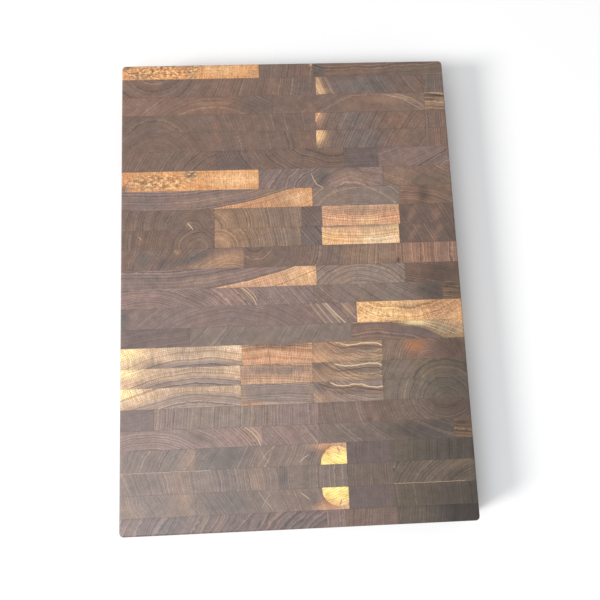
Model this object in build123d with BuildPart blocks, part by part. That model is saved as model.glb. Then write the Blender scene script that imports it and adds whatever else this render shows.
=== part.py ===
"""End-grain walnut cutting board: 24 glued strips of upright wood blocks.

Such a board is made in two glue-ups. Boards of uneven width are first glued edge
to edge into panels. Each panel is crosscut into strips, and every strip is turned
on its side, so that its end grain faces up, and glued to its neighbours. The board
is then trimmed, its corners are rounded and its top and bottom edges are eased.

Frame: millimetres, +X to the right, +Y away from the user, +Z up. The origin is
the middle of the underside, so the board stands on Z = 0.
"""

import os

from build123d import *

# ---------------------------------------------------------------- driving sizes

board_length_x = 322.0
board_thickness = 38.0
corner_radius = 4.0  # upright corners, seen from above
edge_ease = 1.75  # round-over along the top and bottom edges

# One entry for each strip, from the far edge to the near edge: the strip's width,
# its glue joints as distances from the left edge, and which of its blocks are pale
# sapwood, counted from the left. Strips cut from one panel share their joints.
strips = [
    (15.5, (136, 190.5), (1,)),
    (19.0, (192.5, 301.5), ()),
    (19.5, (148.5, 301), ()),
    (18.5, (190.5, 300), ()),
    (19.5, (190.5, 300), ()),
    (20.0, (91.5, 217, 251), ()),
    (20.0, (132.5, 254.5), (1,)),
    (19.0, (184, 269.5), ()),
    (20.0, (89, 173, 192.5, 268), (4,)),
    (19.0, (88.5, 171.5, 191.5, 266.5), (4,)),
    (20.0, (116, 262), ()),
    (19.0, (184.5, 269.5), ()),
    (17.5, (128.5, 181, 304), ()),
    (19.5, (221,), (2,)),
    (17.5, (64, 215), ()),
    (19.0, (112, 177.5, 243), (1, 2)),
    (18.0, (110, 176.5, 241.5), (1, 2)),
    (19.0, (110, 176.5, 241.5), (1,)),
    (19.0, (30.5, 141, 180.5), ()),
    (17.5, (128.5, 180.5, 304.5), ()),
    (19.0, (68, 204.5, 245.5), ()),
    (20.0, (143, 204.5, 245.5), ()),
    (19.5, (68, 204.5, 245.5), ()),
    (15.5, (184, 199.5, 247.5), ()),
]

board_length_y = sum(width for width, joints, sapwood in strips)
left_edge = -board_length_x / 2
far_edge = board_length_y / 2


def make_envelope():
    """The finished board's outer shape, which trims every block."""
    with BuildPart() as envelope:
        with BuildSketch():
            RectangleRounded(board_length_x, board_length_y, corner_radius)
        extrude(amount=board_thickness)
        top_and_bottom = envelope.faces().filter_by(Axis.Z)
        fillet(top_and_bottom.edges(), radius=edge_ease)
    return envelope.part


def make_block(envelope, low_x, high_x, low_y, high_y):
    """One upright block of wood between its glue joints, trimmed at the board's rim."""
    with BuildPart() as block:
        with BuildSketch():
            with Locations(((low_x + high_x) / 2, (low_y + high_y) / 2)):
                Rectangle(high_x - low_x, high_y - low_y)
        extrude(amount=board_thickness)
        add(envelope, mode=Mode.INTERSECT)
    return block.part


def write_node(name, blocks):
    """Write one node: the blocks of one strip that are of the same wood."""
    for number, block in enumerate(blocks, start=1):
        block.label = f"{name}_block_{number}"
    node = Compound(label=name, children=blocks)
    export_step(node, f"parts/{name}.step")


# ---------------------------------------------------------------------- strips

os.makedirs("parts", exist_ok=True)
board_envelope = make_envelope()

strip_far_y = far_edge
for strip_number, (strip_width, joints, sapwood) in enumerate(strips, start=1):
    strip_near_y = strip_far_y - strip_width
    ends = [0, *joints, board_length_x]
    heartwood_blocks = []
    sapwood_blocks = []
    for block_number, (start, end) in enumerate(zip(ends, ends[1:]), start=1):
        block = make_block(
            board_envelope, left_edge + start, left_edge + end, strip_near_y, strip_far_y
        )
        if block_number in sapwood:
            sapwood_blocks.append(block)
        else:
            heartwood_blocks.append(block)
    write_node(f"strip_{strip_number:02d}_heartwood", heartwood_blocks)
    if sapwood_blocks:
        write_node(f"strip_{strip_number:02d}_sapwood", sapwood_blocks)
    strip_far_y = strip_near_y
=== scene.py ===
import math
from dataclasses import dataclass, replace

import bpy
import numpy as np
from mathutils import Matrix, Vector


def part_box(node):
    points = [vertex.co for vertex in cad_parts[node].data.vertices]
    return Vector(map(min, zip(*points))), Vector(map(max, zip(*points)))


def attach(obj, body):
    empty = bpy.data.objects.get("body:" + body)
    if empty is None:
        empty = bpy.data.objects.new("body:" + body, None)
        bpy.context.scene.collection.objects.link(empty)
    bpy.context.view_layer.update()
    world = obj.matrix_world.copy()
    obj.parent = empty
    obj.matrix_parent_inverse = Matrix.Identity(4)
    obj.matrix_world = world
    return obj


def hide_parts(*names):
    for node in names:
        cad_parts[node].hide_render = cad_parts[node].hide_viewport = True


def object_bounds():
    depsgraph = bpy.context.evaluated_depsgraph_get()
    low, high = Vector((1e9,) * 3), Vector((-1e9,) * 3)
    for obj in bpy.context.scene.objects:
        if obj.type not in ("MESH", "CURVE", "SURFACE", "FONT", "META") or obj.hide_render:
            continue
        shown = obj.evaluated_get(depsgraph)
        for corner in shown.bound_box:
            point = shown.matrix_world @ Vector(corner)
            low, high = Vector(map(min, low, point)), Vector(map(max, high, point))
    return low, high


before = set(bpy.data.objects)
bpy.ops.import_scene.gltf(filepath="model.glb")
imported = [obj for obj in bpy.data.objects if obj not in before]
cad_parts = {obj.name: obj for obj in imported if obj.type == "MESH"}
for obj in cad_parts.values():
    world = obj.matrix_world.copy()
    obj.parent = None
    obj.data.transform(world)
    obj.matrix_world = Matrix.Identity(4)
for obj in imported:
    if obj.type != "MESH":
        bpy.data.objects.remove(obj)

# Some tones are painted shade: the blocks at the board's lower-right end are darker, and the top-left corner
# has a painted shadow.
# Looks of the end-grain walnut cutting board. Each upright block of wood is its own
# closed piece. Its mesh carries the block's growth rings, rays, sapwood edge and
# tones as attributes, and one node material turns them into oiled end grain.
#
# Wood figure is laid out in board millimetres: x runs from the left edge to the
# right, and dy from a strip's middle line towards the user.

cad_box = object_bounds()
SCENE = bpy.context.scene
MM = 0.001


# ---------- wood colours

# Display colours (sRGB, 0 to 255) of the bare wood under white light.
TONES = {
    "umber": (118, 94, 82),
    "russet": (128, 98, 82),
    "rosewood": (130, 107, 99),
    "plum": (103, 86, 81),
    "slate": (96, 85, 80),
    "smoke": (112, 100, 95),
    "olive": (106, 91, 77),
    "taupe": (124, 105, 94),
    # ebony also paints shade over the blocks at the board's lower-right end.
    "ebony": (54, 46, 42),
    "tan": (160, 127, 102),
    "rust": (180, 117, 74),
    "khaki": (160, 130, 97),
    "honey": (210, 159, 121),
    "ginger": (217, 152, 98),
    "bark": (116, 79, 54),
    "amber": (233, 187, 136),
    "straw": (247, 218, 156),
    "apricot": (229, 178, 121),
    "gold": (246, 214, 130),
    "cream": (232, 203, 166),
    "butter": (202, 169, 136),
    "ash": (132, 120, 104),
}


def linear(tone):
    """A named tone as linear red, green and blue, by the sRGB curve."""
    value = np.array(TONES[tone], float) / 255
    return np.where(value <= 0.04045, value / 12.92, ((value + 0.055) / 1.055) ** 2.4)


def rgb(tone):
    """A named tone as a node's colour."""
    return (*linear(tone), 1.0)


# ---------- figure vocabulary


@dataclass
class Wood:
    """One block's figure. Its rings run round the pith, or lean at an angle."""

    tone: str
    shade: float = 1.0
    pith: tuple = None  # (x, dy) of the ring centre
    lean: float = 0.0  # slope of the ring lines in degrees, when there is no pith
    bow: float = 300.0  # how far off the pith then is, positive to the right or below
    ring: float = 2.4  # growth ring width
    contrast: float = 1.0
    warp: float = 0.8  # how far the rings wander
    sapwood: bool = False  # a sapwood block, pale but for any heartwood inside sap_from
    sap_from: tuple = None  # (x, dy) on the ring where the sapwood starts
    sap_blur: float = 1.0  # how softly the heartwood turns into sapwood
    sap_dome: tuple = None  # (x, dy, radius) of a round patch of sapwood
    sap_tone: str = "honey"
    patches: tuple = ()  # soft ovals of other tones, from patch()
    spalt: tuple = ()  # (x, dy, wide, high, strength) of each fungal stain
    veins: tuple = ()  # pale lines, from line()
    cracks: tuple = ()  # dark lines, from line()


def patch(x, dy, wide, high, tone, strength=0.7, turn=0.0):
    """A soft oval of another tone, turned anticlockwise as seen from above."""
    return (x, dy, wide, high, tone, strength, turn)


def line(width, *points, strength=1.0):
    """A pale or dark line through points, width in millimetres."""
    return (width, strength, points)


def mirrored(wood):
    """The same block turned over, so that near and far change places."""

    def swap(place):
        return None if place is None else (place[0], -place[1], *place[2:])

    def swap_lines(lines):
        return tuple((width, strength, tuple(map(swap, points))) for width, strength, points in lines)

    return replace(
        wood,
        pith=swap(wood.pith),
        lean=-wood.lean,
        bow=-wood.bow,
        sap_from=swap(wood.sap_from),
        sap_dome=swap(wood.sap_dome),
        patches=tuple((*swap(oval[:-1]), -oval[-1]) for oval in wood.patches),
        spalt=tuple(map(swap, wood.spalt)),
        veins=swap_lines(wood.veins),
        cracks=swap_lines(wood.cracks),
    )


def toned(wood, **changes):
    """The same figure with another tone, shade or detail."""
    return replace(wood, **changes)


# ---------- panels, block after block

SPALTED_SAP = Wood(
    "ginger", 1.0, lean=3, bow=500, ring=2.6, contrast=0.8, sapwood=True,
    spalt=((66, 0, 110, 30, 0.28), (34, 0, 42, 10, 0.95), (68, -2, 8, 9, 0.9)),
    patches=(
        # The olive oval at the board's top-left corner is a painted shadow.
        patch(4, -6, 9, 3, "olive", 0.85), patch(68, 3, 5, 6, "ash", 0.5),
        patch(60, -6, 30, 2, "tan", 0.7), patch(100, -1, 22, 6, "amber", 0.55),
        patch(16, 4, 14, 4, "tan", 0.6), patch(132, 3, 8, 6, "tan", 0.4),
    ),
)

EDGE_STRIP = [
    SPALTED_SAP,
    Wood("umber", lean=82, bow=150, patches=(patch(188, -6, 1.5, 1.5, "amber", 0.5),)),
    Wood(
        "umber", 0.96, lean=2, bow=-500, ring=3.2, warp=2.2, contrast=1.2,
        patches=(patch(196, 0, 8, 12, "slate", 0.8), patch(300, 0, 26, 9, "olive", 0.6)),
    ),
]

FAN_PANEL = [
    Wood("umber", 0.97, pith=(32, 26), contrast=0.8, patches=(patch(92, 2, 5, 9, "russet", 0.7),)),
    Wood(
        "umber", 0.95, lean=62, bow=170, ring=2.6, contrast=1.2,
        patches=(
            patch(189, -5, 11, 11, "amber", 0.97, 20), patch(236, 0, 22, 12, "smoke", 0.75),
            patch(275, 0, 11, 8, "russet", 0.8, 30),
        ),
    ),
    Wood("umber", 0.98, lean=90, bow=500, ring=2.2, contrast=1.2),
]

FAN_PANEL_NEXT = [
    FAN_PANEL[0],
    toned(
        FAN_PANEL[1], shade=0.99,
        patches=(
            patch(190, -6, 10, 9, "honey", 0.65, 20), patch(230, 0, 20, 12, "smoke", 0.75),
            patch(275, 0, 11, 8, "russet", 0.8, 30),
        ),
    ),
    FAN_PANEL[2],
]

FAN_PANEL_TURNED = [
    toned(
        mirrored(FAN_PANEL[0]), shade=1.02, contrast=1.0,
        patches=(patch(92, -2, 5, 9, "russet", 0.7), patch(178, 0, 18, 12, "slate", 0.5)),
    ),
    toned(
        mirrored(FAN_PANEL[1]), shade=0.87,
        patches=(
            patch(189, 2, 9, 13, "amber", 0.7, -20), patch(192, 6, 11, 6, "amber", 0.7),
            patch(236, 0, 32, 12, "smoke", 0.9), patch(250, 0, 14, 8, "slate", 0.5),
        ),
    ),
    toned(mirrored(FAN_PANEL[2]), tone="taupe", shade=0.76),
]

ARCH_STRIP = [
    Wood(
        "russet", 0.98, pith=(88, 70), ring=2.6, warp=1.6, contrast=0.9,
        patches=(
            patch(20, 0, 22, 9, "rosewood", 0.5), patch(88, -2, 24, 2, "tan", 0.35),
            patch(136, 0, 26, 14, "slate", 0.7),
        ),
    ),
    Wood(
        "umber", 1.06, pith=(250, 75), ring=2.6, warp=1.4, contrast=0.6,
        veins=(
            line(0.4, (262, -8), (280, -3), (297, 8), strength=0.45),
            line(0.4, (272, -9), (288, -4), (299, 4), strength=0.4),
        ),
        patches=(patch(266, -4, 26, 5, "tan", 0.4),),
    ),
    Wood(
        "tan", 0.84, lean=-3, ring=3.4, contrast=2.0,
        patches=(patch(312, -6, 14, 1.6, "ebony", 0.9), patch(306, -2, 12, 1.2, "ebony", 0.6)),
    ),
]

WAVE_STRIP = [
    Wood("umber", 0.99, pith=(112, 46), ring=2.8, warp=1.2),
    Wood(
        "umber", 0.94, pith=(206, -58), ring=2.6, warp=1.6, contrast=1.2,
        patches=(patch(108, 0, 22, 12, "plum", 0.7),),
    ),
    Wood("plum", 0.98, lean=2, ring=2.6),
    Wood("rosewood", 0.86, lean=24, bow=-180, ring=2.6, warp=1.4),
]

BARK_STRIP = [
    toned(
        SPALTED_SAP,
        spalt=((66, 0, 110, 30, 0.3), (38, 1, 34, 9, 0.9), (67, -6, 6, 5, 1.0)),
        patches=(
            patch(66, -6, 6, 4, "ash", 0.8), patch(110, 0, 26, 9, "amber", 0.7),
            patch(16, 2, 26, 9, "tan", 0.35), patch(126, 7, 8, 3, "rust", 0.4),
            patch(3, 7, 6, 4, "slate", 0.8),
        ),
    ),
    Wood(
        "rosewood", 0.96, pith=(224, 46), ring=2.6, warp=2.6, contrast=1.3,
        veins=(line(0.5, (184.5, -3), (186, 2), (189, 7), (193.5, 9.5), strength=0.75),),
        patches=(patch(194, -2, 7, 10, "slate", 0.8, -25), patch(225, 1, 24, 8, "tan", 0.35)),
    ),
    Wood(
        "umber", 1.0, lean=-24, warp=1.4,
        patches=(patch(270, 0, 15, 12, "tan", 0.45), patch(300, 4, 24, 7, "olive", 0.6)),
    ),
]

SAP_RING_PANEL = [
    Wood(
        "rosewood", 1.0, pith=(34, -374), contrast=1.25, warp=0.6, sap_from=(100, 7.8),
        sap_tone="ginger", veins=(line(0.4, (20, 9.1), (75, 9.2), strength=0.3),),
        patches=(
            patch(156, 2, 34, 14, "tan", 0.65), patch(172, 0, 16, 7, "amber", 0.45),
            patch(30, 4, 30, 5, "plum", 0.3), patch(118, 8, 22, 3.5, "tan", 0.5),
            patch(80, 1, 30, 4, "tan", 0.35, 6),
        ),
    ),
    Wood("taupe", 1.08, pith=(227, 42), contrast=1.05),
    Wood(
        "russet", 0.96, lean=-12, bow=260, ring=2.6, warp=1.8, contrast=1.1,
        patches=(patch(292, 0, 7, 12, "ebony", 0.55), patch(312, 0, 12, 10, "olive", 0.6)),
    ),
]

SAP_RING_NEAR = [
    toned(
        SAP_RING_PANEL[0], sap_from=(100, 7.1), sap_tone="honey",
        patches=(
            patch(158, 2, 30, 12, "tan", 0.3), patch(174, 0, 18, 8, "amber", 0.6),
            *SAP_RING_PANEL[0].patches[2:],
        ),
    ),
    toned(SAP_RING_PANEL[1], shade=1.18, contrast=1.8),
    toned(SAP_RING_PANEL[2], shade=0.76, patches=(patch(306, 0, 22, 14, "ebony", 0.5),)),
]

WHORL_PANEL = [
    Wood(
        "umber", 0.94, pith=(68, 10), ring=2.1, warp=1.4, contrast=1.15,
        veins=(line(0.6, (64, 4.5), (68, 9.5), strength=0.9),),
        patches=(patch(63, 4, 4, 3, "tan", 0.5),),
    ),
    Wood(
        "tan", 0.72, pith=(84, 9.5), ring=2.3, warp=0.7, contrast=1.2,
        patches=(patch(155, 0, 26, 12, "taupe", 0.7), patch(96, 2, 9, 9, "honey", 0.15)),
    ),
    Wood("plum", 1.08, lean=-52, bow=200, contrast=1.2),
    Wood(
        "honey", 0.98, pith=(235, -230), contrast=1.5, sapwood=True,
        patches=(
            patch(228, -6, 44, 5.5, "tan", 0.8), patch(262, 1.5, 10, 1.6, "rust", 0.5),
            patch(236, 6, 9, 5, "amber", 0.6),
        ),
    ),
    Wood(
        "umber", 0.74, lean=-62, bow=260, ring=2.6,
        patches=(patch(280, 0, 3, 12, "russet", 0.8, -30), patch(304, 0, 4, 12, "russet", 0.7, -30)),
    ),
]

WHORL_PANEL_NEXT = [
    toned(
        WHORL_PANEL[0], shade=0.9, pith=(72, 9.5),
        veins=(line(0.5, (17.6, -2.6), (18.4, -1.8), strength=0.6),),
        patches=(patch(68, 2, 16, 8, "tan", 0.1),),
    ),
    toned(
        WHORL_PANEL[1], pith=(92, 10),
        patches=(patch(97, 0, 9, 12, "honey", 0.25), patch(155, 0, 24, 12, "taupe", 0.6)),
    ),
    WHORL_PANEL[2],
    toned(
        WHORL_PANEL[3], tone="amber", shade=0.9,
        patches=(
            patch(208, -8.8, 26, 1.4, "plum", 0.95), patch(246, -8.5, 22, 1.8, "ash", 0.7),
            patch(248, 6, 20, 6, "cream", 0.75), patch(228, -6, 44, 5, "tan", 0.5),
            patch(222, -3, 6, 8, "honey", 0.7),
        ),
    ),
    WHORL_PANEL[4],
]

BLOTCH_STRIP = [
    Wood(
        "umber", 1.02, pith=(104, 44), ring=2.6, warp=1.8,
        patches=(
            patch(21, 0, 6, 8, "slate", 0.85), patch(38, 4, 8, 5, "plum", 0.8),
            patch(66, 0, 20, 5, "slate", 0.85, 12), patch(52, -7, 3, 2.2, "khaki", 0.7),
            patch(98, 2, 22, 7, "honey", 0.45, 12), patch(88, 8, 30, 3, "tan", 0.6),
        ),
    ),
    Wood(
        "umber", 0.95, pith=(126, -16), ring=2.5, contrast=1.1,
        patches=(patch(240, 0, 34, 12, "tan", 0.5), patch(190, 0, 14, 12, "taupe", 0.5)),
    ),
    Wood(
        "russet", 1.18, lean=88, bow=400, ring=3.2, contrast=1.5,
        patches=(patch(263, 7, 3, 3, "ebony", 0.7),),
    ),
]

BARK_CURVE_PANEL = [
    Wood(
        "rosewood", 1.02, pith=(22, 84), ring=2.3, contrast=1.3, warp=0.9,
        veins=(
            line(0.6, (112, -9), (119, -4), (124, 2), (126.5, 8), strength=0.6),
            line(0.4, (117, -9), (124, -3), (127.5, 4), strength=0.45),
        ),
        patches=(patch(72, -1, 9, 6, "plum", 0.5), patch(118, -3, 12, 5, "tan", 0.4, -40)),
    ),
    Wood("rosewood", 1.02, lean=-50, bow=240, contrast=1.2),
    Wood(
        "taupe", 0.98, lean=-34, bow=-220, ring=2.3, contrast=1.05,
        patches=(patch(296, 0, 20, 16, "ebony", 0.7), patch(192, 0, 10, 12, "umber", 0.4)),
    ),
    Wood(
        "tan", 0.42, lean=-8, bow=200, ring=3.4, contrast=1.8,
        patches=(patch(312, -5, 8, 2, "ebony", 0.7), patch(314, 3, 8, 1.6, "ebony", 0.5)),
    ),
]

BARK_CURVE_NEAR = [
    toned(
        BARK_CURVE_PANEL[0], shade=1.1,
        patches=(*BARK_CURVE_PANEL[0].patches, patch(16, 0, 26, 14, "taupe", 0.6)),
    ),
    BARK_CURVE_PANEL[1],
    # Strip 20: the low shade and the wide ebony oval at the right paint shade where the board darkens
    # towards its lower-right.
    toned(
        BARK_CURVE_PANEL[2], shade=0.88, contrast=1.0,
        patches=(patch(285, 0, 50, 16, "ebony", 0.7), patch(192, 0, 10, 12, "umber", 0.4)),
    ),
    BARK_CURVE_PANEL[3],
]

CREAM_LINE_STRIP = [
    Wood(
        "rosewood", 0.91, pith=(100, 95), ring=2.2, warp=0.9,
        patches=(
            patch(3, 0, 7, 12, "slate", 0.9), patch(195, 0, 16, 12, "slate", 0.15),
            patch(212, -3, 7, 8, "tan", 0.5, -45),
        ),
        veins=(
            line(1.3, (177, -10), (184, 0), (192, 10), strength=0.22),
            line(1.2, (183, -10), (190, 0), (198, 10), strength=0.28),
            line(1.2, (188.5, -10), (197, 0), (205, 10), strength=0.34),
            line(1.1, (191.5, -10), (201, 1), (210, 10), strength=0.6),
            line(1.2, (206, -10), (213, -2), (220, 6), strength=0.25),
        ),
    ),
    Wood(
        "apricot", 1.0, pith=(268, -80), ring=2.6, contrast=1.7, warp=1.8, sapwood=True,
        spalt=((240, 0, 26, 12, 0.55), (300, 2, 26, 10, 0.3)),
        patches=(
            patch(240, 0, 22, 9, "amber", 0.6), patch(246, 0, 14, 8, "gold", 0.2),
            patch(274, -4, 14, 4, "ash", 0.55), patch(294, -5, 8, 6, "umber", 0.4),
            patch(278, 4, 24, 3, "amber", 0.4), patch(306, 0, 26, 13, "tan", 0.6, 40),
            patch(304, 0, 34, 14, "rust", 0.35),
        ),
    ),
]

PLUM_STRIP = [
    Wood("plum", 1.1, lean=8, contrast=0.7, ring=3.0),
    Wood("taupe", 1.0, lean=56, bow=-240, ring=2.6, contrast=0.7),
    Wood(
        "umber", 1.1, pith=(238, 112), ring=2.3, contrast=1.1, sap_from=(238, -9), sap_tone="khaki",
        veins=(
            line(0.4, (216, -8.4), (250, -8.3), strength=0.6),
            line(0.35, (266, -8.6), (286, -3.5), (304, 4), strength=0.6),
            line(0.35, (274, -8.6), (293, -4), (312, 4.5), strength=0.65),
            line(0.35, (284, -8.6), (301, -4.5), (319, 2.5), strength=0.5),
            line(0.3, (296, -8.6), (310, -5), (321, -0.5), strength=0.5),
        ),
        patches=(
            patch(216, -9, 26, 3.5, "umber", 1.0), patch(272, 3, 24, 8, "plum", 0.75, -12),
            patch(316, -7, 7, 3, "honey", 0.8), patch(277, -7, 13, 3, "straw", 0.7),
            patch(304, 1, 10, 3, "ash", 0.6, -20),
        ),
    ),
]

BUTTER_PANEL = [
    Wood(
        "taupe", 1.75, pith=(72, 163), ring=2.1, contrast=1.5, warp=1.0, sapwood=True,
        sap_from=(72, 2.4), sap_tone="butter", sap_blur=3.5,
        patches=(
            patch(2, -6, 18, 9, "straw", 0.95), patch(30, 3, 2.4, 5, "ash", 0.8),
            patch(112, -8, 20, 5, "cream", 0.5), patch(34, 8, 16, 5, "taupe", 0.7),
            patch(80, 9, 34, 3.5, "plum", 0.6), patch(68, -5, 26, 6, "taupe", 0.4),
            patch(126, 3, 6, 8, "butter", 0.5),
        ),
    ),
    Wood(
        "honey", 0.84, lean=-2, ring=2.6, contrast=1.6, warp=1.2, sapwood=True,
        cracks=(line(0.5, (137, -3), (137.6, 3), (138, 10), strength=0.7),),
        patches=(patch(145, -8, 36, 3, "umber", 0.9), patch(146, 4, 30, 4, "honey", 0.5)),
    ),
    Wood(
        "tan", 0.87, pith=(232, -42), ring=2.3, contrast=1.35, warp=1.8,
        veins=(
            line(0.7, (196, -9), (201, -8.4), (206, -6.8), (211, -5.7), (217, -5.9), (223, -7.5),
                 (231, -7.2), (238, -7), (242, -5)),
            line(0.4, (226, 1), (236, 4.5), (243, 4.8), strength=0.4),
        ),
        cracks=(
            line(1.1, (192, -9), (199, -5.5), (206, -3.2), (219, -4.5), (229, -5), (243, -2.6),
                 strength=0.55),
            line(0.7, (188, -7), (194, 0), (202, 2), (213, 0), (229, 1.6), (243, 2.5), strength=0.4),
        ),
        patches=(
            patch(222, 2, 30, 9, "ash", 0.4), patch(183, 5, 10, 7, "honey", 0.7),
            patch(212, 6, 18, 2, "honey", 0.4), patch(226, -2.6, 24, 2.6, "slate", 0.75),
            patch(205, -9.4, 10, 1, "tan", 0.5),
        ),
    ),
    Wood(
        "russet", 0.92, pith=(286, 12), contrast=1.2, warp=1.6,
        patches=(
            patch(254, 0, 12, 12, "taupe", 0.6), patch(274, -4, 10, 7, "rust", 0.55),
            patch(311, 0, 20, 14, "ebony", 0.6),
        ),
    ),
]

BUTTER_PANEL_MIDDLE = [
    toned(
        BUTTER_PANEL[0], sap_from=(72, -0.8),
        patches=(
            patch(2, -7, 16, 7, "straw", 0.9), patch(30, 6, 16, 6, "taupe", 0.6),
            patch(112, -8, 16, 5, "cream", 0.3), patch(80, 8, 40, 4, "plum", 0.5),
            patch(66, -5, 34, 6, "taupe", 0.45),
        ),
    ),
    Wood(
        "tan", 1.26, lean=-2, ring=2.6, contrast=1.6, warp=1.2, sapwood=True,
        patches=(patch(143, -4, 36, 4.5, "taupe", 0.75), patch(143, 7, 36, 2.2, "honey", 0.35)),
    ),
    toned(
        BUTTER_PANEL[2],
        veins=(
            line(0.7, (199, -6.6), (206, -5.1), (215, -5.1), (222, -6.2), (231, -6.8), (238, -6.5),
                 (242, -4)),
            line(0.4, (232, 3), (238, 4), (242, 6), strength=0.5),
        ),
        cracks=(
            line(1.2, (187, -8.6), (194, -3.3), (201, 0), (213, -1.4), (229, -2.8), (238, -2.8), (242, -0.6),
                 strength=0.55),
            line(0.7, (184, -5), (192, 2), (202, 4), (214, 5), (240, 6.5), strength=0.35),
        ),
        patches=(
            patch(222, 1, 30, 9, "ash", 0.55), patch(184, -7, 10, 4, "slate", 0.7),
            patch(183, 7, 12, 4, "tan", 0.8), patch(224, -1.6, 26, 2.8, "slate", 0.75),
            patch(214, 5, 16, 2, "honey", 0.45),
        ),
    ),
    Wood(
        "olive", 1.02, pith=(300, 28), contrast=1.1,
        patches=(patch(258, 0, 16, 10, "taupe", 0.7), patch(316, 0, 26, 14, "ebony", 0.5)),
    ),
]

BUTTER_PANEL_LAST = [
    toned(
        BUTTER_PANEL[0], sap_from=(78, -3.8),
        patches=(
            patch(2, -7, 16, 7, "straw", 0.95), patch(18, 8.5, 26, 2, "khaki", 0.5),
            patch(72, -1, 44, 10, "taupe", 0.45),
        ),
    ),
    Wood(
        "taupe", 1.22, lean=-2, ring=2.6, contrast=1.3, warp=1.2,
        patches=(patch(118, 8, 14, 2, "rust", 0.45), patch(112, 0, 3, 9, "tan", 0.7)),
    ),
    toned(
        BUTTER_PANEL[2], tone="taupe", shade=1.25,
        veins=(
            line(0.7, (194, -8), (199, -5.6), (208, -5.2), (213, -6.3), (222, -6), (229, -3.5), (236, -2.9),
                 (243, -3.5)),
        ),
        cracks=(
            line(1.2, (183, -7.5), (194, -3.8), (206, -2.9), (217, -4.4), (226, -2), (238, 0.2), (243, 0.3),
                 strength=0.6),
            line(0.7, (186, -3), (198, 1), (212, 2), (228, 2.6), (243, 4), strength=0.35),
        ),
        patches=(
            patch(186, -6, 10, 4, "slate", 0.7), patch(184, 5, 12, 6, "tan", 0.8),
            patch(222, -0.4, 28, 2.8, "slate", 0.75),
        ),
    ),
    toned(
        BUTTER_PANEL_MIDDLE[3], pith=(300, 12),
        patches=(patch(256, 0, 16, 10, "taupe", 0.6), patch(316, 0, 26, 14, "ebony", 0.5)),
    ),
]

UPRIGHT_PANEL = [
    Wood("plum", 1.3, lean=10, contrast=0.7),
    Wood(
        "taupe", 1.1, lean=86, bow=-300, ring=2.5, contrast=1.3,
        patches=(patch(40, 0, 11, 12, "rosewood", 0.8), patch(95, 0, 34, 12, "ash", 0.25)),
    ),
    Wood("rosewood", 1.04, lean=90, bow=400, ring=2.6),
    Wood(
        "umber", 0.88, pith=(300, -20), ring=2.1,
        patches=(
            patch(268, 0, 30, 14, "olive", 0.6), patch(205, 0, 24, 12, "taupe", 0.6),
            # The ebony oval at the right end is painted shade, the board darker towards its lower-right.
            patch(316, 0, 36, 14, "ebony", 0.6),
        ),
    ),
]

CRACKED_PANEL = [
    Wood(
        "taupe", 1.04, lean=62, bow=180, ring=2.6, contrast=1.05, warp=2.4,
        patches=(patch(24, 0, 20, 12, "plum", 0.4), patch(62, 0, 10, 12, "tan", 0.35)),
    ),
    Wood(
        "taupe", 1.0, lean=64, bow=-260,
        sap_dome=(196, 8.8, 15.4), sap_tone="gold",
        veins=(
            line(0.4, (124, 8), (129, 1), (135, -6), strength=0.35),
            line(0.4, (127, -4), (130, 1), (133, 5), strength=0.3),
            line(0.6, (163, 5), (168, 1), strength=0.55),
        ),
        cracks=(line(0.6, (196.5, -4.6), (197.2, -3), strength=0.8),),
        patches=(
            patch(97, 0, 26, 13, "slate", 0.75), patch(192, -8, 18, 5, "honey", 0.7),
            patch(202, -5, 9, 5, "amber", 0.55), patch(186, -3, 7, 6, "rust", 0.5),
            patch(172, 2, 6, 6, "slate", 0.4),
        ),
    ),
    Wood("plum", 0.91, lean=88, bow=400, contrast=0.7),
    # The low shade and the ebony oval at the right end are painted shade, the board darker towards its
    # lower-right.
    Wood("olive", 0.75, lean=86, bow=-400, patches=(patch(318, 0, 42, 16, "ebony", 0.65),)),
]

CRACKED_PANEL_TURNED = [
    toned(
        mirrored(CRACKED_PANEL[0]),
        patches=(
            patch(9, 3, 6, 12, "tan", 0.45, 35), patch(34, 0, 14, 12, "plum", 0.35),
            patch(58, -4, 7, 10, "tan", 0.35, 20),
        ),
    ),
    *[mirrored(wood) for wood in CRACKED_PANEL[1:3]],
    # The low shade is painted shade, the board darker towards its lower-right corner.
    toned(mirrored(CRACKED_PANEL[3]), shade=0.72),
]

BOLD_UPRIGHT_PANEL = [
    Wood(
        "taupe", 1.04, pith=(-40, 22), ring=3.0, warp=1.1,
        veins=(line(0.35, (0, -9.5), (80, -9.4), strength=0.45),),
        patches=(
            patch(22, 0, 20, 12, "plum", 0.45), patch(55, 0, 7, 12, "tan", 0.25, 10),
            patch(97, 0, 11, 12, "plum", 0.4), patch(120, 0, 9, 12, "tan", 0.3),
        ),
    ),
    Wood(
        "taupe", 0.92, lean=90, bow=400, contrast=1.1,
        patches=(patch(147, 0, 4, 12, "slate", 0.8), patch(157, 0, 5, 12, "rosewood", 0.5)),
    ),
    Wood("taupe", 0.66, lean=91, ring=1.9, warp=1.0, contrast=1.2),
    Wood(
        "olive", 0.78, pith=(345, 70), ring=2.8, contrast=1.4,
        veins=(line(0.35, (246, 9.5), (310, 9.4), strength=0.45),),
        # The ebony oval at the right end is painted shade, the board darker towards its lower-right.
        patches=(patch(312, -5, 18, 6, "khaki", 0.15), patch(318, 2, 26, 12, "ebony", 0.3)),
    ),
]

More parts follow.
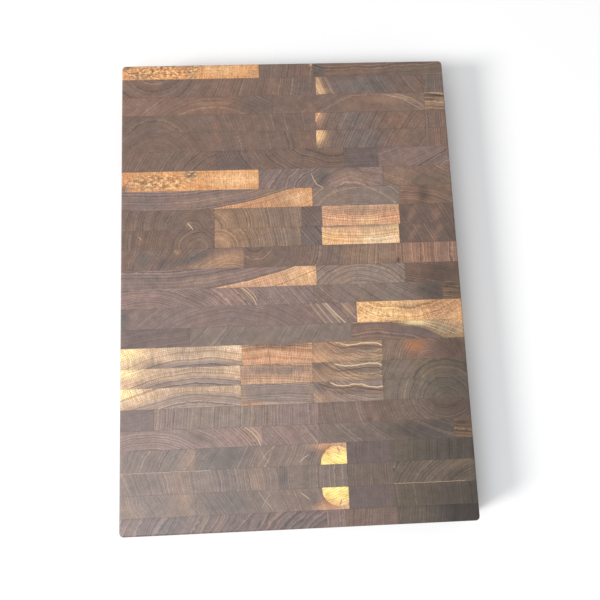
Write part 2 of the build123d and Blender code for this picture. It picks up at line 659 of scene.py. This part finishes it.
NEAR_EDGE_STRIP = [
    Wood(
        "plum", 1.2, lean=52, ring=5.2, contrast=1.35, warp=2.4,
        patches=(
            patch(12, 0, 20, 12, "rosewood", 0.5), patch(50, 0, 16, 12, "slate", 0.3),
            patch(73, 0, 3.2, 11, "tan", 0.25, -25), patch(88, 0, 3.2, 11, "tan", 0.25, -25),
            patch(112, 1, 1.5, 6, "ebony", 0.5, -20), patch(122, 1, 1.5, 6, "ebony", 0.5, -20),
            patch(131, 0, 1.6, 10, "ebony", 0.5, -25), patch(167, 2, 16, 5, "slate", 0.7),
        ),
    ),
    Wood("rosewood", 0.86, lean=90, veins=(line(0.3, (184.6, -8), (184.6, 8), strength=0.3),)),
    Wood("umber", 0.88, lean=84, veins=(line(0.3, (199.9, -8), (199.9, 8), strength=0.3),)),
    # The ebony tone of this corner block is painted shade at the board's lower-right corner.
    Wood("ebony", 0.96, lean=80, bow=-300, ring=2.6, patches=(patch(262, 0, 26, 12, "olive", 0.65),)),
]

STRIPS = [
    EDGE_STRIP, FAN_PANEL_TURNED, ARCH_STRIP, FAN_PANEL_NEXT, FAN_PANEL, WAVE_STRIP, BARK_STRIP,
    SAP_RING_PANEL, WHORL_PANEL, WHORL_PANEL_NEXT, BLOTCH_STRIP, SAP_RING_NEAR,
    BARK_CURVE_PANEL, CREAM_LINE_STRIP, PLUM_STRIP, BUTTER_PANEL, BUTTER_PANEL_MIDDLE,
    BUTTER_PANEL_LAST, UPRIGHT_PANEL, BARK_CURVE_NEAR, CRACKED_PANEL, BOLD_UPRIGHT_PANEL,
    CRACKED_PANEL_TURNED, NEAR_EDGE_STRIP,
]


# ---------- blocks from the frame


def strip_nodes(number):
    """The CAD nodes of one strip: heartwood, and sapwood where it has some."""
    stem = f"strip_{number:02d}_"
    return sorted(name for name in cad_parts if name.startswith(stem))


def glue_joints(nodes, rim):
    """Where a strip's blocks meet, read from the nodes' vertices clear of the rim."""
    places = set()
    for name in nodes:
        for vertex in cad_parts[name].data.vertices:
            if cad_box[0][0] + rim < vertex.co.x < cad_box[1][0] - rim:
                places.add(round(vertex.co.x, 5))
    return sorted(places)


# ---------- block mesh

# The board's rounding is the same as in the CAD.
CORNER_RADIUS = 4.0 * MM
EDGE_EASE = 1.75 * MM
HALF_X, HALF_Y, THICKNESS = cad_box[1]
CELL = 1.25 * MM  # mesh size on the end grain
SIDE_CELLS = 8  # mesh rows down the long grain
SHARP_ANGLE = math.radians(35)
TINY = 1e-9


def grid_lines(low, high, cell, low_is_rim=True, high_is_rim=True):
    """Mesh lines from low to high, with extra ones for the round-over at a rim."""
    start = low + EDGE_EASE if low_is_rim else low
    end = high - EDGE_EASE if high_is_rim else high
    lines = list(np.linspace(start, end, max(2, round((end - start) / cell) + 1)))
    rounding = [0, EDGE_EASE / 3, EDGE_EASE * 2 / 3]
    if low_is_rim:
        lines = [low + step for step in rounding] + lines
    if high_is_rim:
        lines = lines + [high - step for step in reversed(rounding)]
    return np.array(lines)


def closed_shell(xs, ys, zs):
    """Points and quads of a box's whole surface on the given mesh lines."""
    grid = np.stack(np.meshgrid(xs, ys, zs, indexing="ij"), -1)
    skin = np.zeros(grid.shape[:3], bool)
    skin[[0, -1]] = True
    skin[:, [0, -1]] = True
    skin[:, :, [0, -1]] = True
    index = np.full(skin.shape, -1)
    index[skin] = np.arange(skin.sum())

    def quads(face, turned):
        corners = [face[:-1, :-1], face[1:, :-1], face[1:, 1:], face[:-1, 1:]]
        flat = np.stack(corners, -1).reshape(-1, 4)
        return flat[:, ::-1] if turned else flat

    faces = [
        quads(index[:, :, -1], False), quads(index[:, :, 0], True),
        quads(index[-1], False), quads(index[0], True),
        quads(index[:, 0], False), quads(index[:, -1], True),
    ]
    return grid[skin], np.concatenate(faces)


def eased(points):
    """Round the board's upright corners and its top and bottom edges."""
    x, y, z = points.T.copy()
    inner_x = HALF_X - CORNER_RADIUS
    inner_y = HALF_Y - CORNER_RADIUS
    u = np.clip((np.abs(x) - inner_x) / CORNER_RADIUS, 0, 1)
    v = np.clip((np.abs(y) - inner_y) / CORNER_RADIUS, 0, 1)
    corner = (u > 0) & (v > 0)
    round_u = np.where(corner, u * np.sqrt(1 - v * v / 2), u)
    round_v = np.where(corner, v * np.sqrt(1 - u * u / 2), v)
    reach = np.where(corner, np.hypot(round_u, round_v), np.maximum(u, v))
    inside = (1 - reach) * CORNER_RADIUS
    from_face = np.minimum(z, THICKNESS - z)
    near_rim = (inside < EDGE_EASE) & (from_face < EDGE_EASE)
    angle = math.pi / 4 * (1 + inside / EDGE_EASE - from_face / EDGE_EASE)
    inset = np.where(near_rim, EDGE_EASE * (1 - np.cos(angle)), inside)
    drop = np.where(near_rim, EDGE_EASE * (1 - np.sin(angle)), from_face)
    new_reach = 1 - inset / CORNER_RADIUS
    grow = np.where(reach > TINY, new_reach / np.maximum(reach, TINY), 1)
    along_x = np.where(corner | (u >= v), round_u * grow, round_u)
    along_y = np.where(corner | (v > u), round_v * grow, round_v)
    x = np.where(u > 0, np.sign(x) * (inner_x + along_x * CORNER_RADIUS), x)
    y = np.where(v > 0, np.sign(y) * (inner_y + along_y * CORNER_RADIUS), y)
    z = np.where(z > THICKNESS / 2, THICKNESS - drop, drop)
    return np.stack([x, y, z], -1)


# ---------- figure fields

# Lengths are in millimetres.
HILLS = 64  # hills along each side of a noise field, before it repeats
FAR = 50.0  # a distance that nothing in a block's figure reaches
LINE_FADE = 1.5  # over which a line fades out past its ends
DRIFT = 0.05  # how far the figure may move sideways for each millimetre down a block
MAX_COUNT_SHIFT = 40  # a block's rings are counted from a random number up to this
MAX_GRAIN_SEED = 50
LEAST_RAY_RADIUS = 12.0  # rays keep at least this radius's spacing
WARP_HILL, WARP_RIPPLE, RIPPLE_SHARE = 17, 6, 0.4
CLOUD_HILL, CLOUD_RIPPLE, CLOUD_SHARE = 14, 5, 0.07
WARMTH_HILL, WARMTH_SHARE = 26, 0.05
WARMTH = np.array([1, 0, -0.8])  # how warmth changes red, green and blue
DOME_WARP, DOME_CONTRAST = 0.4, 0.4  # of a round patch's rim, and of the rings in it
EDGE_WIDTH = 2.5  # of the darker heartwood beside sapwood
EDGE_DARK, PALE_EDGE_DARK = 0.22, 0.05  # how dark it is, and how dark in a sapwood block
LINE_HILL, LINE_WANDER = 3, 0.35


def smooth_noise(x, y, cell, seed):
    """Soft random hills between about -1 and 1, cell millimetres apart."""
    heights = np.random.default_rng(seed).uniform(-1, 1, (HILLS, HILLS))
    u, v = x / cell, y / cell
    i, j = np.floor(u).astype(int), np.floor(v).astype(int)
    s, t = u - i, v - j
    s, t = s * s * (3 - 2 * s), t * t * (3 - 2 * t)
    i, j, next_i, next_j = i % HILLS, j % HILLS, (i + 1) % HILLS, (j + 1) % HILLS
    near = heights[i, j] * (1 - s) + heights[next_i, j] * s
    far = heights[i, next_j] * (1 - s) + heights[next_i, next_j] * s
    return near * (1 - t) + far * t


def oval_weight(x, dy, spot):
    """1 in the middle of a patch, falling softly to 0 outside it."""
    cx, cy, wide, high, _, strength, turn = spot
    c, s = math.cos(math.radians(turn)), math.sin(math.radians(turn))
    u = ((x - cx) * c - (dy - cy) * s) / wide
    v = ((x - cx) * s + (dy - cy) * c) / high
    return strength * np.exp(-((u * u + v * v) ** 1.5))


def line_field(x, dy, lines):
    """Signed distance to the nearest line, in that line's widths, and how much of it shows.

    The sign changes across every line, so the distance stays smooth there. Past its
    last point a line goes on without a bend and fades out.
    """
    nearest = np.full(x.shape, FAR)
    sign = np.ones(x.shape)
    shown = np.zeros(x.shape)
    for width, strength, points in lines:
        gap, side, beyond = np.full(x.shape, np.inf), np.ones(x.shape), np.zeros(x.shape)
        last = len(points) - 2
        for count, ((ax, ay), (bx, by)) in enumerate(zip(points, points[1:])):
            run_x, run_y = bx - ax, by - ay
            length = math.hypot(run_x, run_y)
            t = ((x - ax) * run_x + (dy - ay) * run_y) / length**2
            t = np.clip(t, -FAR if count == 0 else 0, FAR if count == last else 1)
            here = np.hypot(x - ax - t * run_x, dy - ay - t * run_y)
            closer = here < gap
            gap = np.where(closer, here, gap)
            side = np.where(closer, np.sign(run_x * (dy - ay) - run_y * (x - ax)), side)
            beyond = np.where(closer, np.maximum(0, np.maximum(-t, t - 1)) * length, beyond)
        sign *= side
        closer = gap / width < nearest
        nearest = np.where(closer, gap / width, nearest)
        shown = np.where(closer, strength * np.exp(-((beyond / LINE_FADE) ** 2)), shown)
    return nearest * sign, shown


def ring_centre(wood, middle):
    """The pith, or for rings that lean, a far one that gives the lean and the bow."""
    if wood.pith:
        return wood.pith
    slope = math.radians(wood.lean)
    return (middle + wood.bow * math.sin(slope), wood.bow * math.cos(slope))


def sapwood_depth(wood, pith, radius, x, dy):
    """How far each place lies inside the sapwood, and whether a round patch holds it."""
    if wood.sap_dome:
        cx, cy, size = wood.sap_dome
        depth = size - np.hypot(x - cx, dy - cy)
        return depth, depth > 0
    if wood.sap_from:
        depth = radius - math.hypot(wood.sap_from[0] - pith[0], wood.sap_from[1] - pith[1])
    else:
        depth = np.full(x.shape, FAR if wood.sapwood else -FAR)
    return depth, np.zeros(x.shape, bool)


def figure(wood, x, dy, depth, middle, seed):
    """Every attribute of one block's wood at the given places."""
    rng = np.random.default_rng(seed)
    drift = rng.uniform(-DRIFT, DRIFT, 2)
    x = x + depth * drift[0]
    dy = dy + depth * drift[1]

    def hills(cell, count):
        return smooth_noise(x, dy, cell, seed + count)

    warp_x = wood.warp * (hills(WARP_HILL, 0) + RIPPLE_SHARE * hills(WARP_RIPPLE, 1))
    warp_y = wood.warp * (hills(WARP_HILL, 2) + RIPPLE_SHARE * hills(WARP_RIPPLE, 3))
    pith = ring_centre(wood, middle)
    from_x, from_y = x + warp_x - pith[0], dy + warp_y - pith[1]
    radius = np.hypot(from_x, from_y)
    growth = radius / wood.ring + rng.uniform(0, MAX_COUNT_SHIFT)
    ray = np.arctan2(from_y, from_x) * max(LEAST_RAY_RADIUS, float(radius.mean()))
    depth_in_sap, in_dome = sapwood_depth(
        wood, pith, radius, x + DOME_WARP * warp_x, dy + DOME_WARP * warp_y
    )

    own = linear(wood.tone) * wood.shade
    heart = np.tile(own, (len(x), 1))
    all_sapwood = wood.sapwood and wood.sap_from is None
    sap = np.tile(own if all_sapwood else linear(wood.sap_tone), (len(x), 1))
    cloud = CLOUD_SHARE * (hills(CLOUD_HILL, 4) + 0.5 * hills(CLOUD_RIPPLE, 5))
    warmth = WARMTH_SHARE * hills(WARMTH_HILL, 6)
    for tone in (heart, sap):
        tone *= 1 + cloud[:, None] + warmth[:, None] * WARMTH
        # Patches paint other tones of the wood. They also paint shade at the board's lower-right end and a
        # shadow at its top-left corner.
        for spot in wood.patches:
            weight = oval_weight(x + warp_x, dy + 0.5 * warp_y, spot)[:, None]
            tone += weight * (linear(spot[4]) - tone)
    edge = np.exp(-((depth_in_sap / EDGE_WIDTH) ** 2)) * (depth_in_sap < 0)
    heart *= 1 - (PALE_EDGE_DARK if wood.sapwood else EDGE_DARK) * edge[:, None]

    spalt = np.zeros(x.shape)
    for cx, cy, wide, high, strength in wood.spalt:
        spalt = np.maximum(spalt, oval_weight(x, dy, patch(cx, cy, wide, high, "", strength)))
    wander = LINE_WANDER * hills(LINE_HILL, 7)
    vein, vein_shown = line_field(x + wander, dy + wander, wood.veins)
    crack, crack_shown = line_field(x + wander, dy + wander, wood.cracks)
    return {
        "growth": growth,
        "ray": ray,
        "sap_depth": depth_in_sap / wood.sap_blur,
        "contrast": wood.contrast * np.where(in_dome, DOME_CONTRAST, 1.0),
        "spalt": spalt,
        "vein": vein,
        "vein_shown": vein_shown,
        "crack": crack,
        "crack_shown": crack_shown,
        "grain_seed": np.full(x.shape, rng.uniform(0, MAX_GRAIN_SEED)),
        "heart_tone": heart,
        "sap_tone": sap,
    }


def add_attribute(mesh, name, values):
    """Write one value, or one colour, for each vertex."""
    if values.ndim == 2:
        colour = np.concatenate([values, np.ones((len(values), 1))], 1)
        target = mesh.attributes.new(name, "FLOAT_COLOR", "POINT")
        target.data.foreach_set("color", colour.astype(np.float32).ravel())
    else:
        target = mesh.attributes.new(name, "FLOAT", "POINT")
        target.data.foreach_set("value", values.astype(np.float32))


def make_block(name, wood, low_x, high_x, low_y, high_y, seed):
    """One upright block of wood as a closed mesh with its figure."""
    xs = grid_lines(low_x, high_x, CELL, low_x <= -HALF_X + MM, high_x >= HALF_X - MM)
    ys = grid_lines(low_y, high_y, CELL, low_y <= -HALF_Y + MM, high_y >= HALF_Y - MM)
    zs = grid_lines(0, THICKNESS, THICKNESS / SIDE_CELLS)
    flat, faces = closed_shell(xs, ys, zs)
    points = eased(flat)
    mesh = bpy.data.meshes.new(name)
    mesh.from_pydata(points.tolist(), [], faces.tolist())
    mesh.shade_smooth()
    mesh.set_sharp_from_angle(angle=SHARP_ANGLE)
    across = (points[:, 0] + HALF_X) / MM
    towards = ((low_y + high_y) / 2 - points[:, 1]) / MM
    depth = (THICKNESS - points[:, 2]) / MM
    middle = ((low_x + high_x) / 2 + HALF_X) / MM
    for field, values in figure(wood, across, towards, depth, middle, seed).items():
        add_attribute(mesh, field, values)
    seam_x = np.minimum(flat[:, 0] - low_x, high_x - flat[:, 0]) / MM
    seam_y = np.minimum(flat[:, 1] - low_y, high_y - flat[:, 1]) / MM
    add_attribute(mesh, "seam", np.minimum(seam_x, seam_y))
    block = bpy.data.objects.new(name, mesh)
    SCENE.collection.objects.link(block)
    return block


# ---------- material


class Graph:
    """Short calls for building a node tree. Values are numbers, colours or sockets."""

    def __init__(self, tree):
        self.tree = tree

    def feed(self, socket, value):
        if isinstance(value, bpy.types.NodeSocket):
            self.tree.links.new(value, socket)
        else:
            socket.default_value = value

    def attribute(self, name, output="Fac"):
        node = self.tree.nodes.new("ShaderNodeAttribute")
        node.attribute_name = name
        return node.outputs[output]

    def math(self, operation, a, b=0.0):
        node = self.tree.nodes.new("ShaderNodeMath")
        node.operation = operation
        self.feed(node.inputs[0], a)
        self.feed(node.inputs[1], b)
        return node.outputs[0]

    def plus(self, a, b):
        return self.math("ADD", a, b)

    def minus(self, a, b):
        return self.math("SUBTRACT", a, b)

    def times(self, a, b):
        return self.math("MULTIPLY", a, b)

    def vector_math(self, operation, a, b):
        node = self.tree.nodes.new("ShaderNodeVectorMath")
        node.operation = operation
        self.feed(node.inputs[0], a)
        self.feed(node.inputs[1], b)
        return node.outputs[0]

    def combined(self, x, y, z):
        node = self.tree.nodes.new("ShaderNodeCombineXYZ")
        for socket, value in zip(node.inputs, (x, y, z)):
            self.feed(socket, value)
        return node.outputs[0]

    def noise(self, where, scale, detail, dimensions="3D"):
        node = self.tree.nodes.new("ShaderNodeTexNoise")
        node.noise_dimensions = dimensions
        self.feed(node.inputs["W" if dimensions == "1D" else "Vector"], where)
        node.inputs["Scale"].default_value = scale
        node.inputs["Detail"].default_value = detail
        return node.outputs["Fac"]

    def cell_distance(self, where, scale):
        node = self.tree.nodes.new("ShaderNodeTexVoronoi")
        self.feed(node.inputs["Vector"], where)
        node.inputs["Scale"].default_value = scale
        return node.outputs["Distance"]

    def random(self, value):
        node = self.tree.nodes.new("ShaderNodeTexWhiteNoise")
        node.noise_dimensions = "1D"
        self.feed(node.inputs["W"], value)
        return node.outputs["Value"]

    def ramp(self, value, start, end, low=0.0, high=1.0, smooth=True):
        """Low up to the start and high past the end."""
        node = self.tree.nodes.new("ShaderNodeMapRange")
        node.interpolation_type = "SMOOTHSTEP" if smooth else "LINEAR"
        for socket, number in zip(node.inputs[:5], (value, start, end, low, high)):
            self.feed(socket, number)
        return node.outputs[0]

    def fade(self, value, start, end):
        """1 up to the start and 0 past the end."""
        return self.minus(1.0, self.ramp(value, start, end))

    def mixed(self, factor, a, b, blend="MIX"):
        node = self.tree.nodes.new("ShaderNodeMix")
        node.data_type = "RGBA"
        node.blend_type = blend
        self.feed(node.inputs["Factor"], factor)
        self.feed(node.inputs["A"], a)
        self.feed(node.inputs["B"], b)
        return node.outputs["Result"]

    def tinted(self, colour, tint):
        return self.mixed(1.0, colour, tint, "MULTIPLY")

    def painted(self, colour, tone, amount, strength):
        """The colour with a tone over it where the amount is above 0."""
        return self.mixed(self.times(amount, strength), colour, rgb(tone))


# Places in the material are in millimetres.
WHITE = (1, 1, 1, 1)
PALE_RING = {"heart": (1.60, 1.57, 1.50, 1), "sap": (1.22, 1.30, 1.42, 1)}
DARK_RING = {"heart": (0.55, 0.58, 0.61, 1), "sap": (0.66, 0.54, 0.44, 1)}
LONG_GRAIN = 0.03  # how fast the figure changes down a block, against across it
RING_WOBBLE, RING_UNEVEN = 0.6, 1.8  # how far rings stray sideways and in their count
LATE_WOOD = 0.7  # strength of a ring's dark end, against its pale start
WEAKEST_YEAR, YEAR_SPREAD = 0.45, 0.45
FINE_LINES, RING_BANDS, RING_STRENGTH = 1.5, 0.8, 1.2
FINE_PER_RING, BAND_START = 2.3, 7.3
SAP_EDGE_WOBBLE = 2.2
RAY_PITCH, RAY_LENGTH, RAY_CONTRAST = 1.1, 0.30, 0.28
HEART_RAYS, MORE_SAP_RAYS, SAP_RAY_WARMTH = 0.35, 0.75, 0.7
HATCH_PITCH, HATCH_WANDER, HATCH_STRENGTH = 3.9, 9.0, 0.20
LEAST_PORE, PORE_SPREAD, PORE_DARK, PORE_STRENGTH = 0.16, 0.30, 0.6, 0.55
LATE_PORES, MORE_EARLY_PORES = 0.45, 0.55
MOTTLE = 0.14
FLECK_STRETCH = 0.6
PORE_ROUGHNESS, ROUGHNESS_SPREAD, LATE_WOOD_SHINE = 0.22, 0.10, 0.05
RING_RELIEF, GRAIN_RELIEF, BUMP_DEPTH = 0.10, 0.12, 0.12 * MM


def growth_rings(g, fibre, seed):
    """The uneven ring count, how far it strays, and a ring's pale, dark and whole profile."""
    growth = g.attribute("growth")
    wobble = g.times(g.minus(g.noise(fibre, scale=0.35, detail=3), 0.5), RING_WOBBLE)
    uneven = g.noise(g.plus(growth, seed), scale=0.45, detail=1, dimensions="1D")
    uneven = g.times(uneven, RING_UNEVEN)
    rings = g.plus(g.plus(growth, wobble), uneven)
    part = g.math("FRACT", rings)
    pale = g.fade(part, start=0.04, end=0.34)
    dark = g.ramp(part, start=0.55, end=0.97)
    opening = g.ramp(part, start=0.0, end=0.06)
    profile = g.minus(g.times(pale, opening), g.times(dark, LATE_WOOD))
    return rings, wobble, pale, dark, profile


def ring_tone(g, rings, profile):
    """How much lighter or darker the rings make the wood, some years more than others."""
    year = g.random(g.math("FLOOR", rings))
    strength = g.plus(WEAKEST_YEAR, g.times(year, YEAR_SPREAD))
    fine = g.minus(g.noise(g.times(rings, FINE_PER_RING), scale=1.0, detail=4, dimensions="1D"), 0.5)
    tone = g.plus(g.times(profile, strength), g.times(fine, FINE_LINES))
    bands = g.minus(g.noise(g.plus(rings, BAND_START), scale=0.32, detail=1, dimensions="1D"), 0.5)
    tone = g.plus(tone, g.times(bands, RING_BANDS))
    return g.times(g.times(tone, g.attribute("contrast")), RING_STRENGTH)


def ray_lines(g, fibre, rings, sap, seed):
    """Fine lines across the rings, close and clear in sapwood."""
    ray = g.attribute("ray")
    place = g.combined(g.times(ray, RAY_PITCH), g.times(rings, RAY_LENGTH), seed)
    rays = g.minus(g.noise(place, scale=1.0, detail=3), 0.5)
    wander = g.times(g.noise(fibre, scale=0.22, detail=2), HATCH_WANDER)
    hatch = g.math("SINE", g.plus(g.times(ray, HATCH_PITCH), wander))
    hatch = g.times(hatch, g.times(g.noise(fibre, scale=0.12, detail=2), HATCH_STRENGTH))
    rays = g.plus(rays, g.times(hatch, sap))
    return g.times(rays, g.plus(HEART_RAYS, g.times(sap, MORE_SAP_RAYS)))


def open_pores(g, fibre, pale):
    """Dots on end grain, more in pale early wood, that run as long dashes down the sides."""
    size = g.plus(LEAST_PORE, g.times(g.noise(fibre, scale=0.8, detail=2), PORE_SPREAD))
    from_pore = g.math("DIVIDE", g.cell_distance(fibre, scale=1.5), size)
    pores = g.fade(from_pore, start=0.55, end=1.0)
    return g.times(pores, g.plus(LATE_PORES, g.times(pale, MORE_EARLY_PORES)))


def figured(g, base, fibre, sap, tone, rays):
    """The base colour, lightened and darkened by the rings, the rays and a soft mottle."""
    lift = g.ramp(tone, start=0.0, end=1.2)
    fall = g.ramp(tone, start=0.0, end=-1.2)
    pale_line = g.mixed(sap, PALE_RING["heart"], PALE_RING["sap"])
    dark_line = g.mixed(sap, DARK_RING["heart"], DARK_RING["sap"])
    colour = g.tinted(base, g.mixed(lift, WHITE, pale_line))
    colour = g.tinted(colour, g.mixed(fall, WHITE, dark_line))
    tint = g.ramp(rays, -0.25, 0.25, low=1 - RAY_CONTRAST, high=1 + RAY_CONTRAST, smooth=False)
    blue = g.math("POWER", tint, g.plus(1.0, g.times(sap, SAP_RAY_WARMTH)))
    colour = g.tinted(colour, g.combined(tint, tint, blue))
    for scale, detail in ((0.16, 6), (0.9, 4)):
        cloud = g.ramp(g.noise(fibre, scale, detail), 0.3, 0.7, 1 - MOTTLE, 1 + MOTTLE, smooth=False)
        colour = g.tinted(colour, g.combined(cloud, cloud, cloud))
    return colour


def spalted(g, colour, fibre):
    """Dark fungal flecks and pale ones between them."""
    spalt = g.attribute("spalt")
    stretched = g.vector_math("MULTIPLY", fibre, (FLECK_STRETCH, 1, 1))
    fleck = g.noise(stretched, scale=0.55, detail=5)
    pale_fleck = g.times(g.ramp(fleck, start=0.47, end=0.36), spalt)
    dark_fleck = g.times(g.ramp(fleck, start=0.50, end=0.62), spalt)
    colour = g.painted(colour, "straw", pale_fleck, strength=0.85)
    return g.painted(colour, "bark", dark_fleck, strength=0.85)


def end_grain(name, roughness):
    """Oiled walnut: rings, rays, pores, spalt and glue lines over each block's tones."""
    material = bpy.data.materials.new(name)
    material.use_nodes = True
    tree = material.node_tree
    shader = tree.nodes["Principled BSDF"]
    g = Graph(tree)

    seed = g.attribute("grain_seed")
    place = tree.nodes.new("ShaderNodeTexCoord").outputs["Object"]
    place = g.vector_math("MULTIPLY", place, (1 / MM, 1 / MM, 1 / MM))
    place = g.vector_math("ADD", place, g.combined(seed, seed, seed))
    fibre = g.vector_math("MULTIPLY", place, (1, 1, LONG_GRAIN))

    # The block's own tones, with the sapwood's edge following the rings.
    rings, wobble, pale, dark, profile = growth_rings(g, fibre, seed)
    sap_depth = g.plus(g.attribute("sap_depth"), g.times(wobble, SAP_EDGE_WOBBLE))
    sap = g.ramp(sap_depth, start=-0.5, end=0.5)
    base = g.mixed(sap, g.attribute("heart_tone", "Color"), g.attribute("sap_tone", "Color"))
    rays = ray_lines(g, fibre, rings, sap, seed)
    colour = figured(g, base, fibre, sap, ring_tone(g, rings, profile), rays)
    colour = spalted(g, colour, fibre)

    # Pale veins, rusty and dark cracks, open pores and the glue line round the block.
    vein = g.fade(g.math("ABSOLUTE", g.attribute("vein")), start=0.2, end=1.0)
    vein = g.times(vein, g.attribute("vein_shown"))
    colour = g.painted(colour, "cream", vein, strength=0.9)
    from_crack = g.math("ABSOLUTE", g.attribute("crack"))
    crack_shown = g.attribute("crack_shown")
    bark = g.times(g.fade(from_crack, start=0.9, end=2.4), crack_shown)
    colour = g.painted(colour, "rust", bark, strength=0.35)
    crack = g.times(g.fade(from_crack, start=0.3, end=0.9), crack_shown)
    colour = g.painted(colour, "ebony", crack, strength=0.9)
    pores = open_pores(g, fibre, pale)
    pore_colour = g.mixed(PORE_DARK, colour, rgb("ebony"))
    colour = g.mixed(g.times(pores, PORE_STRENGTH), colour, pore_colour)
    seam = g.fade(g.attribute("seam"), start=0.05, end=0.3)
    colour = g.painted(colour, "ebony", seam, strength=0.4)
    g.feed(shader.inputs["Base Color"], colour)

    # Satin oil: the dense late wood shines a little more than the open pores.
    rough = g.plus(roughness, g.times(pores, PORE_ROUGHNESS))
    rough = g.plus(rough, g.times(g.noise(place, scale=0.06, detail=3), ROUGHNESS_SPREAD))
    rough = g.minus(rough, g.times(dark, LATE_WOOD_SHINE))
    g.feed(shader.inputs["Roughness"], rough)
    shader.inputs["IOR"].default_value = 1.52
    shader.inputs["Coat Weight"].default_value = 0.4
    shader.inputs["Coat Roughness"].default_value = 0.36
    shader.inputs["Coat IOR"].default_value = 1.5

    relief = g.times(profile, RING_RELIEF)
    relief = g.plus(relief, g.times(g.noise(fibre, scale=2.2, detail=3), GRAIN_RELIEF))
    for hollow, deep in ((pores, 0.5), (crack, 3.0), (seam, 0.8)):
        relief = g.minus(relief, g.times(hollow, deep))
    bump = tree.nodes.new("ShaderNodeBump")
    bump.inputs["Strength"].default_value = 0.5
    bump.inputs["Distance"].default_value = BUMP_DEPTH
    g.feed(bump.inputs["Height"], relief)
    g.feed(shader.inputs["Normal"], bump.outputs["Normal"])
    return material


# ---------- build the board

HEARTWOOD = end_grain("walnut_heartwood", 0.40)
SAPWOOD = end_grain("walnut_sapwood", 0.42)

for number, woods in enumerate(STRIPS, start=1):
    nodes = strip_nodes(number)
    low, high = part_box(nodes[0])
    ends = [-HALF_X, *glue_joints(nodes, 2 * CORNER_RADIUS), HALF_X]
    for count, (start, end, wood) in enumerate(zip(ends, ends[1:], woods), start=1):
        kind = "sapwood" if wood.sapwood else "heartwood"
        node = f"strip_{number:02d}_{kind}"
        name = f"strip_{number:02d}_block_{count}"
        seed = 100 * number + count
        block = make_block(name, wood, start, end, low.y, high.y, seed)
        block.data.materials.append(SAPWOOD if wood.sapwood else HEARTWOOD)
        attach(block, "root")
        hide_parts(node)


# ---------- floor, light and camera


FLOOR_REACH = 40.0
FLOOR_GAP = 0.02 * MM  # keeps the floor clear of the board's underside
CAMERA_PLACE = (-0.0222, -0.1341, 0.6717)
CAMERA_TURN = (10.48, -2.19, -2.34)  # degrees


def make_floor():
    """A plain pale floor."""
    mesh = bpy.data.meshes.new("floor")
    signs = [(-1, -1), (1, -1), (1, 1), (-1, 1)]
    corners = [(x * FLOOR_REACH, y * FLOOR_REACH, -FLOOR_GAP) for x, y in signs]
    mesh.from_pydata(corners, [], [(0, 1, 2, 3)])
    floor = bpy.data.objects.new("floor", mesh)
    SCENE.collection.objects.link(floor)
    material = bpy.data.materials.new("floor")
    material.use_nodes = True
    shader = material.node_tree.nodes["Principled BSDF"]
    shader.inputs["Base Color"].default_value = (0.92, 0.92, 0.92, 1)
    shader.inputs["Roughness"].default_value = 0.9
    shader.inputs["Specular IOR Level"].default_value = 0.1
    mesh.materials.append(material)


def add_light(name, kind, energy, place, colour, **settings):
    """A lamp at a place, turned towards the board."""
    lamp = bpy.data.lights.new(name, kind)
    lamp.energy = energy
    lamp.color = colour
    for setting, value in settings.items():
        setattr(lamp, setting, value)
    light = bpy.data.objects.new(name, lamp)
    light.location = place
    light.rotation_euler = light.location.to_track_quat("Z", "Y").to_euler()
    SCENE.collection.objects.link(light)


make_floor()
add_light("key", "SUN", 2.34, (-1.65, -0.62, 1.0), (1, 0.99, 0.97), angle=math.radians(17))
add_light("softbox", "AREA", 7.0, (-0.47, -0.44, 1.2), (0.93, 0.96, 1.0), shape="SQUARE", size=0.7)

world = bpy.data.worlds.new("studio")
world.use_nodes = True
sky = world.node_tree.nodes["Background"]
sky.inputs["Color"].default_value = WHITE
sky.inputs["Strength"].default_value = 0.53
SCENE.world = world

lens = bpy.data.cameras.new("camera")
lens.sensor_width = 36
lens.lens = 41.0
camera = bpy.data.objects.new("camera", lens)
camera.location = CAMERA_PLACE
camera.rotation_euler = [math.radians(angle) for angle in CAMERA_TURN]
SCENE.collection.objects.link(camera)
SCENE.camera = camera
SCENE.view_settings.view_transform = "Standard"
